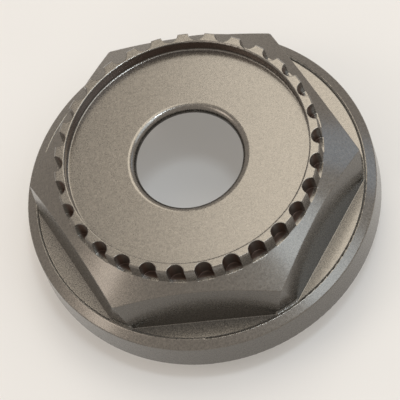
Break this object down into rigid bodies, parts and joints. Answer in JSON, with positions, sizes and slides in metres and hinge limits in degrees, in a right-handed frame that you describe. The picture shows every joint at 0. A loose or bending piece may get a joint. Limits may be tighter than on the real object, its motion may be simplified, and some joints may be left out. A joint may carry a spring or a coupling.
{
  "type": "wheel center cap",
  "caption": "Snap-in wheel centre cap: chamfered hexagonal body in a dished round flange, castellated ring round a flat disc with an open hole, slotted snap collar with a wire spring behind.",
  "frame": {"origin": "on the wheel's axis at the height of the fingertips, which is the bottom centre of the part as it lies on its back", "axes": "+Z along the wheel's axis, out of the wheel towards the viewer; +X through a corner of the hexagon"},
  "size_m": [0.112, 0.112, 0.0483],
  "materials": {
    "paint": "gunmetal metallic paint with a fine flake under a satin clear coat, on moulded plastic",
    "spring_steel": "bright drawn spring wire"
  },
  "bodies": {
    "root": {"cap": "paint", "wire_spring": "spring_steel"}
  },
  "joints": []
}
